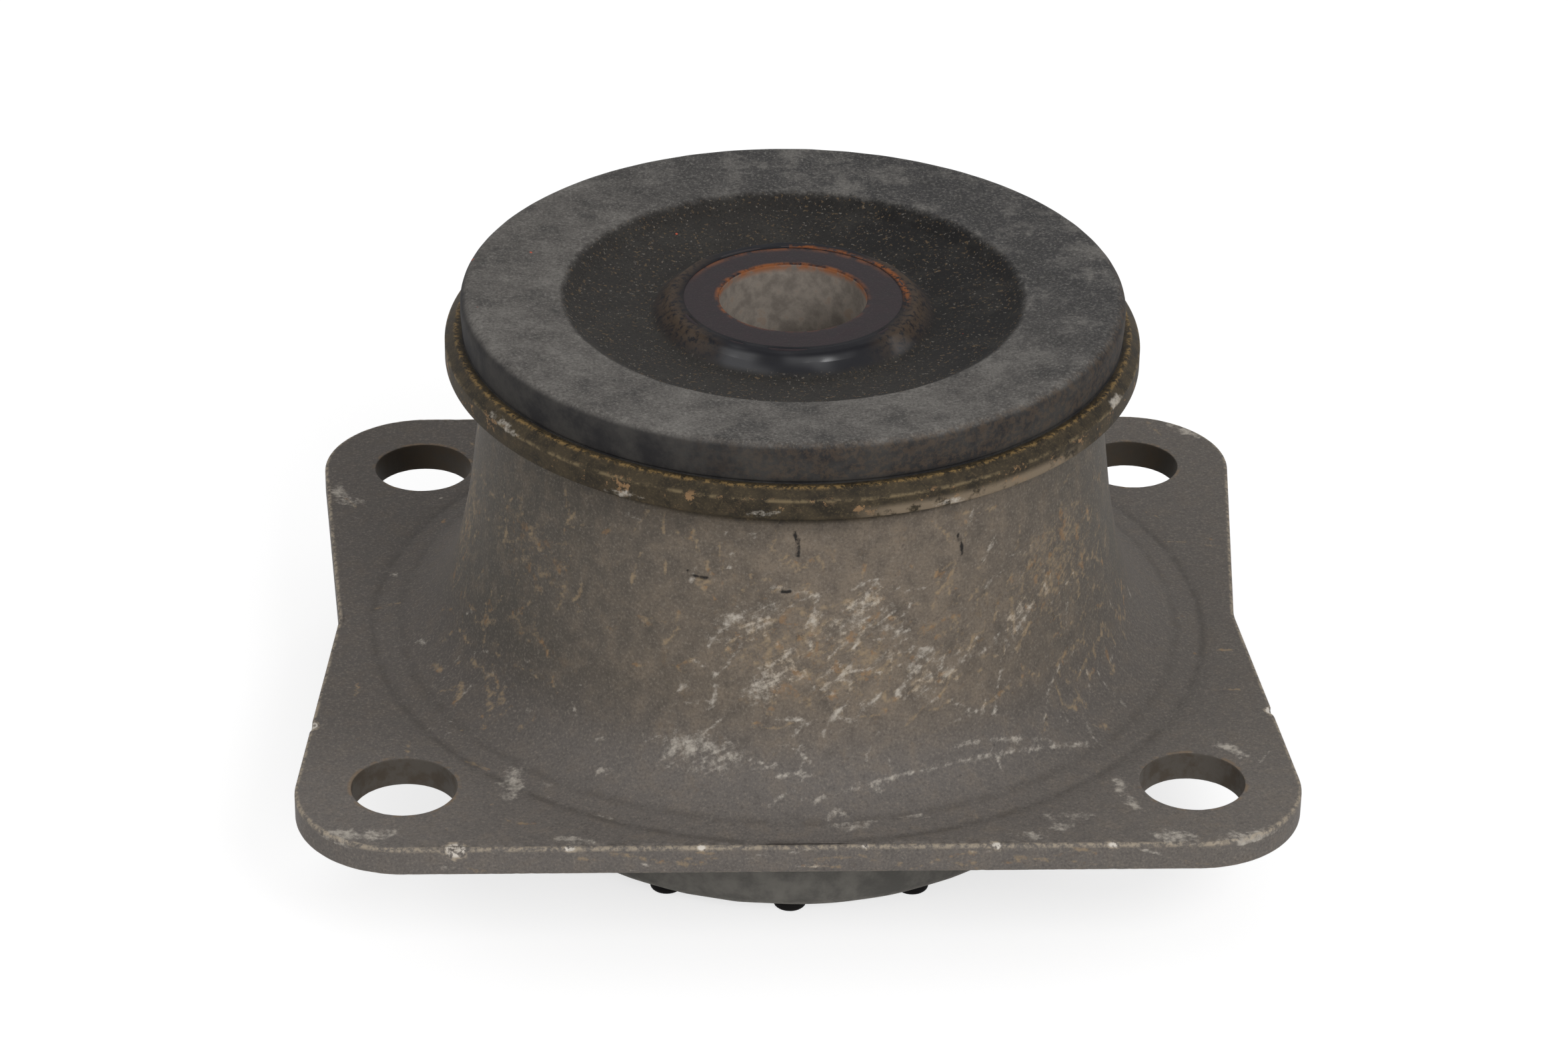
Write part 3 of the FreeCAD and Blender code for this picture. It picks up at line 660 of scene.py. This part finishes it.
class Graph:
    """Builds the nodes of one material; each method gives an output socket."""

    def __init__(self, tree):
        self.tree = tree

    def node(self, kind, values=(), **settings):
        made = self.tree.nodes.new("ShaderNode" + kind)
        for name, setting in settings.items():
            setattr(made, name, setting)
        for socket, value in values:
            self.put(made.inputs[socket], value)
        return made

    def put(self, socket, value):
        if isinstance(value, bpy.types.NodeSocket):
            self.tree.links.new(value, socket)
        else:
            socket.default_value = value

    def math(self, operation, *values, clamp=False):
        made = self.node("Math", enumerate(values), operation=operation, use_clamp=clamp)
        return made.outputs[0]

    def add(self, *values):
        total = values[0]
        for value in values[1:]:
            total = self.math("ADD", total, value)
        return total

    def times(self, *values):
        total = values[0]
        for value in values[1:]:
            total = self.math("MULTIPLY", total, value)
        return total

    def most(self, *values):
        total = values[0]
        for value in values[1:]:
            total = self.math("MAXIMUM", total, value)
        return total

    def band(self, value, low, high, start=0.0, stop=1.0):
        """Smooth step from start, at or below low, to stop, at or above high."""
        made = self.node("MapRange", (("Value", value), ("From Min", low), ("From Max", high),
                                      ("To Min", start), ("To Max", stop)), interpolation_type="SMOOTHSTEP")
        return made.outputs["Result"]

    def near(self, value, centre, reach):
        """1 where the value is at the centre, 0 beyond the reach."""
        return self.band(self.math("ABSOLUTE", self.math("SUBTRACT", value, centre)), 0.0, reach, 1.0, 0.0)

    def mix(self, share, first, second):
        made = self.node("Mix", data_type="RGBA")
        self.put(made.inputs[0], share)
        for socket, colour in ((made.inputs[6], first), (made.inputs[7], second)):
            self.put(socket, colour if isinstance(colour, bpy.types.NodeSocket) else paint(colour))
        return made.outputs[2]

    def noise(self, place, scale, detail=3.0, roughness=0.55, offset=(0, 0, 0), stretch=(1, 1, 1)):
        """Noise, 0 to 1, with its scale in features per millimetre."""
        moved = self.node("Mapping", ((0, place), (1, offset), (3, tuple(scale * s for s in stretch))))
        made = self.node("TexNoise", (("Vector", moved.outputs[0]), ("Scale", 1.0), ("Detail", detail),
                                      ("Roughness", roughness)))
        return made.outputs[0]

    def streaks(self, flat, lean, length, width, offset=(0, 0, 0)):
        """Noise drawn out along a lean, in degrees, on the sheet laid flat."""
        turned = self.node("Mapping", ((0, flat), (1, offset), (2, (0, 0, math.radians(lean))),
                                       (3, (length, width, length))), vector_type="TEXTURE")
        made = self.node("TexNoise", (("Vector", turned.outputs[0]), ("Scale", 1.0), ("Detail", 4.0),
                                      ("Roughness", 0.65)))
        return made.outputs[0]

    def layer(self, name):
        """A value stored on the mesh's vertices."""
        return self.node("Attribute", attribute_name=name).outputs["Fac"]

    def vector(self, x=0.0, y=0.0, z=0.0):
        return self.node("CombineXYZ", ((0, x), (1, y), (2, z))).outputs[0]


def paint(srgb):
    """A colour written as 0 to 255 screen values, in linear light."""
    return tuple(((c / 255 + 0.055) / 1.055) ** 2.4 if c > 10 else c / 3294.6 for c in srgb) + (1.0,)


def new_material(name):
    material = bpy.data.materials.new(name)
    material.use_nodes = True
    material.node_tree.nodes.clear()
    return material, Graph(material.node_tree)


At = namedtuple("At", "place x y z radius turn")


def place_sockets(g):
    """Position in millimetres and what follows from it."""
    coordinates = g.node("TexCoord").outputs["Object"]
    place = g.node("VectorMath", ((0, coordinates), (3, 1000.0)), operation="SCALE").outputs[0]
    x, y, z = g.node("SeparateXYZ", ((0, place),)).outputs
    radius = g.math("SQRT", g.add(g.times(x, x), g.times(y, y)))
    turn = g.math("ARCTAN2", x, g.times(y, -1.0))
    return At(place, x, y, z, radius, turn)


def surface(g, colour, roughness, height, bump_mm, **sockets):
    """Principled shader with its colour, roughness and bump."""
    bump = g.node("Bump", (("Strength", 1.0), ("Distance", bump_mm * MM), ("Height", height)))
    shader = g.node("BsdfPrincipled", (("Base Color", colour), ("Roughness", roughness),
                                       ("Normal", bump.outputs[0])))
    for name, value in sockets.items():
        shader.inputs[name.replace("_", " ")].default_value = value
    output = g.node("OutputMaterial")
    g.tree.links.new(shader.outputs[0], output.inputs[0])
    return shader


def base_coat_and_light(g, at, mottle, grain, front_light_and_wear, blotchy):
    """Smooth and neutral on the flange, painted lighter along its front and right as light, warmer on the
    neck and painted lighter where it faces the front, partly as light and partly as rub.
    """
    broad = g.noise(at.place, 0.028, 3.0, 0.6)
    # painted light: the flange's coat goes lighter towards its front and towards its right
    flat_coat_and_light = g.mix(g.band(at.y, -22.0, -52.0), (81, 76, 72), (98, 93, 89))
    flat_coat_and_light = g.mix(g.times(g.band(at.x, 20.0, 60.0), 0.5), flat_coat_and_light, (96, 91, 86))
    neck_coat_and_light = g.mix(g.band(broad, 0.3, 0.7), (72, 68, 62), (82, 77, 71))
    # painted light and rub: the neck is lighter and browner where it faces the front
    neck_coat_and_light = g.mix(g.times(front_light_and_wear, 0.9), neck_coat_and_light, (106, 96, 85))
    colour = g.mix(g.band(at.z, 7.0, 20.0), flat_coat_and_light, neck_coat_and_light)
    colour = g.mix(g.times(g.band(mottle, 0.43, 0.76), blotchy), colour, (126, 113, 98))
    colour = g.mix(g.times(g.band(mottle, 0.50, 0.25), blotchy), colour, (66, 61, 56))
    colour = g.mix(g.times(g.band(grain, 0.5, 0.75), 0.45), colour, (138, 129, 118))
    return g.mix(g.times(g.band(grain, 0.5, 0.28), 0.40), colour, (58, 54, 50))


def lip_coat(g, at, mottle, grain, fine, smear):
    """Olive paint with a speckled brass line inside, a lighter ridge outside and a rubbed stretch."""
    speck = g.noise(at.place, 0.5, 4.0, 0.7, (6, 2, 9))
    outside = g.band(at.radius, LIP_RADIUS - 0.5, LIP_RADIUS - 0.1)
    olive = g.mix(g.band(mottle, 0.35, 0.65), (36, 31, 23), (60, 52, 39))
    olive = g.mix(g.times(g.band(grain, 0.5, 0.7), 0.4), olive, (92, 80, 58))
    inner_line = g.times(g.near(at.z, LIP_TOP - 0.05, 0.45), g.near(at.radius, 48.0, 0.6),
                         g.band(fine, 0.44, 0.60))
    olive = g.mix(g.times(inner_line, 0.8), olive, (142, 116, 74))
    ridge = g.times(g.near(at.z, LIP_TOP - 1.4, 0.4), outside, g.band(speck, 0.44, 0.60))
    olive = g.mix(g.times(ridge, 0.55), olive, (128, 112, 84))
    aside = g.math("ABSOLUTE", g.add(at.turn, math.radians(-SECTOR)))
    rubbed = g.times(g.band(aside, math.radians(25), math.radians(15)),
                     g.band(at.z, LIP_TOP - 2.2, LIP_TOP - 3.4), outside, g.band(smear, 0.34, 0.50))
    olive = g.mix(g.times(rubbed, 0.75), olive, (128, 114, 96))
    chips = g.band(g.noise(at.place, 0.34, 5.0, 0.75, (8, 5, 5)), 0.59, 0.64)
    return g.mix(g.times(chips, g.near(at.z, LIP_TOP - 2.2, 2.4), outside, 0.8), olive, (142, 112, 80))


def with_marks(g, at, colour, fine, smear):
    """The stored fields, broken up by noise and by fine streaks."""
    flat = g.vector(g.times(at.turn, NECK_ARC), at.z, at.radius)
    broken = g.add(g.times(g.add(g.streaks(flat, 27, 4.5, 0.6), -0.5), 0.9),
                   g.times(g.add(fine, -0.5), 1.3), g.times(g.add(smear, -0.5), 1.5))
    rubbed_tan = g.layer("rubbed_tan")
    tan = g.band(g.add(rubbed_tan, broken), 0.48, 1.05)
    colour = g.mix(g.times(tan, 0.65), colour, (146, 127, 101))
    spotty = g.band(g.noise(at.place, 0.55, 3.0, 0.6, (9, 9, 2)), 0.57, 0.68)
    spots = g.times(spotty, g.band(rubbed_tan, 0.3, 0.6))
    colour = g.mix(g.times(spots, 0.42), colour, (140, 106, 70))
    pale = g.band(g.add(g.layer("scuffed_pale"), broken), 0.56, 1.25)
    colour = g.mix(g.times(pale, 0.78), colour, (180, 173, 162))
    flecks = g.band(g.add(g.layer("flecked_dark"), g.times(broken, 0.5)), 0.45, 0.85)
    return g.mix(flecks, colour, (34, 31, 29))


def with_stains(g, at, colour, blotchy):
    """Tan stains and dark pits."""
    stain = g.band(g.noise(at.place, 0.3, 5.0, 0.75, (5, 1, 8)), 0.58, 0.70)
    colour = g.mix(g.times(stain, blotchy, 0.4), colour, (124, 103, 78))
    pits = g.band(g.noise(at.place, 0.9, 2.0, 0.5, (4, 7, 3)), 0.27, 0.23)
    return g.mix(g.times(pits, 0.35), colour, (40, 36, 33))


def with_crease_shade(g, at, colour, mottle, on_flange):
    """Painted shade in the creases where the draw meets the flat sheet, broken up by the mottle."""
    rings = g.most(g.near(at.radius, DRAW_CENTRE.x, 1.1), g.times(g.near(at.radius, INNER_CREASE, 1.2), 0.7))
    crease = g.times(rings, on_flange, g.band(mottle, 0.36, 0.56))
    return g.mix(g.times(crease, 0.4), colour, (52, 49, 46))


def with_holes_and_shade(g, at, colour, mottle):
    """Walls in the bolt holes painted dark as shade, darker still in the back holes, with brown mottle, and a
    thin spotted rim round them.
    """
    hole = g.math("SQRT", g.add(
        g.math("POWER", g.add(g.math("ABSOLUTE", at.x), -HOLE_X), 2.0),
        g.math("POWER", g.add(g.math("ABSOLUTE", at.y), -HOLE_Y), 2.0)))
    rim = g.times(g.near(hole, HOLE_RADIUS + 0.1, 0.5), g.band(mottle, 0.46, 0.6))
    colour = g.mix(g.times(rim, 0.5), colour, (124, 102, 76))
    # painted shade: the hole walls are dark, darker in the back holes than in the front ones
    wall = g.mix(g.band(at.y, -20.0, 20.0), (78, 73, 67), (56, 50, 43))
    wall = g.mix(g.times(g.band(mottle, 0.42, 0.62), 0.6), wall, (62, 52, 41))
    return g.mix(g.band(hole, HOLE_RADIUS - 0.06, HOLE_RADIUS - 0.14), colour, wall)


def with_worn_edge(g, colour, fine, on_flange):
    """The flange's edge, worn along its corner and bare where it was knocked."""
    edge = g.layer("edge_wear")
    worn = g.times(g.band(edge, 0.35, 0.95), g.band(fine, 0.40, 0.60), on_flange)
    colour = g.mix(g.times(worn, 0.75), colour, (158, 146, 128))
    knocked = g.times(g.band(edge, 1.05, 1.5), g.band(fine, 0.40, 0.56))
    return g.mix(knocked, colour, (200, 193, 183))


def housing_paint():
    """Matt brown-grey paint, scuffed to tan and white, with a little rust."""
    material, g = new_material("painted_steel_worn")
    at = place_sockets(g)
    mottle = g.noise(at.place, 0.35, 5.0, 0.62, (11, 4, 7))
    grain = g.noise(at.place, 2.6, 3.0, 0.7, (3, 8, 1))
    fine = g.noise(at.place, 1.3, 4.0, 0.7, (1, 1, 1))
    smear = g.noise(at.place, 0.45, 4.0, 0.7, (5, 5, 9))
    # the front of the neck: painted lighter there as light and rub, and more blotchy with wear
    front_light_and_wear = g.near(at.turn, 0.15, 1.25)
    blotchy = g.times(g.band(at.z, 6.0, 20.0, 0.25, 0.60), g.add(0.55, g.times(front_light_and_wear, 0.45)))
    on_lip = g.band(at.z, LIP_FOOT, LIP_FOOT + 1.0)
    on_flange = g.band(at.z, 14.0, 6.0, 0.0, 1.0)

    colour = base_coat_and_light(g, at, mottle, grain, front_light_and_wear, blotchy)
    colour = g.mix(on_lip, colour, lip_coat(g, at, mottle, grain, fine, smear))
    colour = with_marks(g, at, colour, fine, smear)
    colour = with_stains(g, at, colour, blotchy)
    # painted shade in the creases round the neck's foot
    colour = with_crease_shade(g, at, colour, mottle, on_flange)
    colour = with_holes_and_shade(g, at, colour, mottle)
    colour = with_worn_edge(g, colour, fine, on_flange)

    roughness = g.add(0.6, g.times(mottle, 0.2))
    height = g.add(g.times(mottle, 0.35), g.times(grain, 0.3))
    surface(g, colour, roughness, height, 0.06, Specular_IOR_Level=0.18)
    return material


def dusty_disc(g, at, mottle, fine, grain, above):
    """The disc's side, and the dust that lies on the ring, the ring's top darker at the back and the right.
    """
    up = g.node("SeparateXYZ", ((0, g.node("NewGeometry").outputs["Normal"]),)).outputs[2]
    # the ring's top goes darker towards the back and the right
    behind = g.band(g.add(g.times(at.y, 0.7), g.times(at.x, 0.7)), -12.0, 34.0)
    colour = g.mix(g.band(mottle, 0.35, 0.65), (36, 35, 36), (58, 56, 54))
    dust = g.mix(behind, (85, 82, 79), (56, 55, 55))
    dust = g.mix(g.times(g.band(mottle, 0.46, 0.68), 0.7), dust, (112, 109, 105))
    dust = g.mix(g.times(g.band(mottle, 0.49, 0.32), 0.75), dust, (50, 49, 48))
    dust = g.mix(g.times(g.band(fine, 0.52, 0.70), 0.35), dust, (120, 117, 112))
    dust = g.mix(g.times(g.band(grain, 0.50, 0.70), 0.45), dust, (134, 131, 126))
    dust = g.mix(g.times(g.band(grain, 0.50, 0.30), 0.50), dust, (40, 39, 38))
    colour = g.mix(g.times(g.band(up, 0.45, 0.95), above), colour, dust)
    edge = g.times(g.near(at.radius, DISC_RADIUS - 0.3, 1.2), g.band(at.turn, -0.5, 0.1),
                   g.band(fine, 0.42, 0.6), above)
    return g.mix(g.times(edge, 0.35), colour, (92, 76, 60))


def with_dish_and_shade(g, at, colour, mottle, fine, grain, above):
    """The dish, painted darker towards the right as shade, with fine pale and rusty specks."""
    ragged = g.add(at.radius, g.times(g.add(fine, -0.5), 1.6))
    dish = g.times(above, g.band(ragged, 33.5, 32.3))
    # painted shade: the dish darkens towards its right side
    dark = g.mix(g.band(g.add(at.x, g.times(at.y, 0.3)), 2.0, 24.0), (42, 40, 38), (22, 21, 21))
    dark = g.mix(g.times(g.band(mottle, 0.45, 0.68), 0.4), dark, (60, 58, 55))
    dark = g.mix(g.times(g.band(grain, 0.50, 0.32), 0.6), dark, (16, 15, 15))
    gold = g.band(g.noise(at.place, 1.7, 2.0, 0.6, (2, 8, 3)), 0.60, 0.70)
    dark = g.mix(g.times(gold, 0.65), dark, (100, 84, 64))
    white = g.band(g.noise(at.place, 2.1, 2.0, 0.6, (6, 1, 7)), 0.63, 0.72)
    dark = g.mix(g.times(white, 0.65), dark, (122, 116, 108))
    colour = g.mix(dish, colour, dark)
    red = g.times(g.band(g.noise(at.place, 0.45, 1.0, 0.5, (3, 1, 4)), 0.80, 0.82), above)
    return g.mix(red, colour, (176, 84, 62))


def with_collar(g, at, colour, fine, above, collar):
    """The clean collar round the sleeve, with brown dust in its root at the sides and rust behind."""
    colour = g.mix(collar, colour, (24, 24, 28))
    sides = g.band(g.math("ABSOLUTE", at.x), 9.0, 15.0)
    root = g.times(above, g.near(at.radius, 17.8, 2.8), g.band(fine, 0.34, 0.56), sides)
    colour = g.mix(g.times(root, 0.6), colour, (84, 70, 56))
    orange = g.times(above, g.near(at.radius, 16.2, 0.8), g.band(at.turn, 1.3, 1.7), g.band(fine, 0.4, 0.55))
    return g.mix(g.times(orange, 0.7), colour, (142, 82, 40))


def with_foot(g, at, colour, mottle, fine):
    """The dusty foot, with painted light along its rounded lower edge, and its black nubs."""
    foot = g.mix(g.band(mottle, 0.35, 0.65), (94, 92, 88), (120, 117, 111))
    # painted light: the foot's rounded lower edge is paler, as if lit from the floor
    low_edge_light = g.times(g.near(at.z, FOOT_BOTTOM + 0.8, 1.4), g.band(fine, 0.35, 0.6), 0.6)
    foot = g.mix(low_edge_light, foot, (150, 146, 138))
    colour = g.mix(g.band(at.z, 0.0, -2.0), colour, foot)
    return g.mix(g.band(at.z, FOOT_BOTTOM - 0.1, FOOT_BOTTOM - 0.5), colour, (20, 18, 18))


def rubber_finish():
    """Black rubber: dusty on the ring, darker and specked in the dish, glossy on the collar."""
    material, g = new_material("black_rubber_dusty")
    at = place_sockets(g)
    mottle = g.noise(at.place, 0.16, 6.0, 0.68, (4, 4, 2))
    fine = g.noise(at.place, 1.1, 4.0, 0.7, (2, 6, 5))
    grain = g.noise(at.place, 2.6, 3.0, 0.7, (1, 3, 9))
    above = g.band(at.z, 53.0, 54.0)
    collar = g.times(above, g.band(at.radius, 20.4, 19.2))

    colour = dusty_disc(g, at, mottle, fine, grain, above)
    colour = with_dish_and_shade(g, at, colour, mottle, fine, grain, above)
    colour = with_collar(g, at, colour, fine, above, collar)
    colour = with_foot(g, at, colour, mottle, fine)

    lobes = g.band(g.noise(at.place, 0.12, 1.0, 0.5, (3, 5, 0)), 0.40, 0.56, 0.2, 1.0)
    gloss = g.times(collar, g.band(at.y, -9.0, -14.0), g.band(at.z, 57.05, 56.5), lobes)
    roughness = g.add(0.70, g.times(mottle, 0.2))
    height = g.add(g.times(mottle, 0.5), g.times(grain, 0.4))
    shader = surface(g, colour, roughness, height, 0.08, Specular_IOR_Level=0.14, Coat_Roughness=0.3)
    g.put(shader.inputs["Coat Weight"], gloss)
    return material


def sleeve_finish():
    """Dark oxidised steel, rusty along the edge of its bore."""
    material, g = new_material("sleeve_steel_rusty")
    at = place_sockets(g)
    mottle = g.noise(at.place, 0.4, 5.0, 0.65)
    grain = g.noise(at.place, 3.0, 3.0, 0.7, (5, 5, 1))
    colour = g.mix(g.band(mottle, 0.35, 0.65), (31, 24, 27), (41, 33, 36))
    colour = g.mix(g.times(g.band(grain, 0.5, 0.7), 0.2), colour, (72, 63, 63))
    top = g.band(at.z, 54.5, 56.0)
    rim = g.times(g.near(at.radius, BORE_RADIUS + 0.2, 0.7), top, g.band(mottle, 0.40, 0.58),
                  g.band(g.math("SUBTRACT", at.y, g.times(at.x, 0.8)), -9.0, 6.0, 0.25, 1.0))
    colour = g.mix(g.times(rim, 0.85), colour, (128, 76, 40))
    outer = g.times(g.near(at.radius, FILM_RADIUS - 0.2, 1.0), top, g.band(at.y, 4.0, 12.0),
                    g.band(mottle, 0.36, 0.6))
    colour = g.mix(g.times(outer, 0.6), colour, (118, 72, 42))
    bore = g.band(at.radius, BORE_RADIUS + 0.1, BORE_RADIUS + 0.02)
    wall = g.mix(g.band(mottle, 0.35, 0.65), (112, 105, 98), (138, 130, 121))
    wall = g.mix(g.times(g.band(at.z, 55.6, 56.9), g.band(mottle, 0.36, 0.56), 0.9), wall, (136, 80, 42))
    wall = g.mix(g.times(g.band(mottle, 0.58, 0.68), 0.3), wall, (122, 92, 68))
    colour = g.mix(bore, colour, wall)
    roughness = g.add(0.52, g.times(mottle, 0.25))
    surface(g, colour, roughness, g.add(mottle, g.times(grain, 0.5)), 0.05, Specular_IOR_Level=0.14)
    return material


# ---- stage --------------------------------------------------------------------

def seen_directly(g):
    """1 for rays from the camera or off glossy and clear surfaces, 0 for the others."""
    rays = g.node("LightPath").outputs
    return g.most(rays["Is Camera Ray"], rays["Is Glossy Ray"], rays["Is Transmission Ray"])


def build_floor(height):
    """White floor that keeps the shadow."""
    mesh = bmesh.new()
    bmesh.ops.create_grid(mesh, x_segments=1, y_segments=1, size=3.0)
    data = bpy.data.meshes.new("floor")
    mesh.to_mesh(data)
    mesh.free()
    floor = bpy.data.objects.new("floor", data)
    floor.location.z = height
    bpy.context.scene.collection.objects.link(floor)
    material, g = new_material("floor_white")
    seen = seen_directly(g)
    matt = g.node("BsdfDiffuse", (("Color", (0.8, 0.8, 0.8, 1.0)),)).outputs[0]
    veiled = g.node("AddShader", (
        (0, g.node("BsdfDiffuse", (("Color", (0.42, 0.42, 0.42, 1.0)),)).outputs[0]),
        (1, g.node("Emission", (("Color", (1, 1, 1, 1)), ("Strength", 0.72))).outputs[0]))).outputs[0]
    shown = g.node("MixShader", ((0, seen), (1, matt), (2, veiled))).outputs[0]
    g.tree.links.new(shown, g.node("OutputMaterial").inputs[0])
    data.materials.append(material)


def build_sky():
    """Pale surroundings, white where they are seen directly."""
    world = bpy.data.worlds.new("studio")
    world.use_nodes = True
    world.node_tree.nodes.clear()
    g = Graph(world.node_tree)
    strength = g.band(seen_directly(g), 0.0, 1.0, 0.5, 1.0)
    sky = g.node("Background", (("Color", (1, 1, 1, 1)), ("Strength", strength))).outputs[0]
    g.tree.links.new(sky, g.node("OutputWorld").inputs[0])
    bpy.context.scene.world = world


def build_lamps():
    """Soft round lamps, each with its place, size and power, turned to the middle of the part."""
    for name, place, size, power in (("key", (0.40, -0.80, 0.65), 0.5, 6.0),
                                     ("fill", (-0.75, -0.35, 0.50), 0.6, 1.5),
                                     ("back", (0.0, 0.8, 0.8), 0.7, 1.5)):
        lamp = bpy.data.lights.new(name, "AREA")
        lamp.shape = "DISK"
        lamp.size = size
        lamp.energy = power
        holder = bpy.data.objects.new(name, lamp)
        holder.location = place
        holder.rotation_euler = (Vector((0, 0, 0.03)) - Vector(place)).to_track_quat("-Z", "Y").to_euler()
        bpy.context.scene.collection.objects.link(holder)


def build_camera():
    """The camera, its lens, angles and place fitted to the photograph."""
    camera = bpy.data.cameras.new("camera")
    camera.sensor_width = 36.0
    camera.lens = 114.1
    azimuth, elevation, roll = math.radians(-2.41), math.radians(29.45), math.radians(0.89)
    place = (-0.02735, -0.63104, 0.37676)
    turned = (Matrix.Rotation(azimuth, 3, "Z") @ Matrix.Rotation(math.pi / 2 - elevation, 3, "X")
              @ Matrix.Rotation(roll, 3, "Z"))
    holder = bpy.data.objects.new("camera", camera)
    holder.matrix_world = Matrix.Translation(place) @ turned.to_4x4()
    bpy.context.scene.collection.objects.link(holder)
    bpy.context.scene.camera = holder


build_housing(housing_paint())
build_rubber(rubber_finish())
build_sleeve(sleeve_finish())
build_floor(cad_bounds[0][2])
build_sky()
build_lamps()
build_camera()
bpy.context.scene.view_settings.view_transform = "Standard"
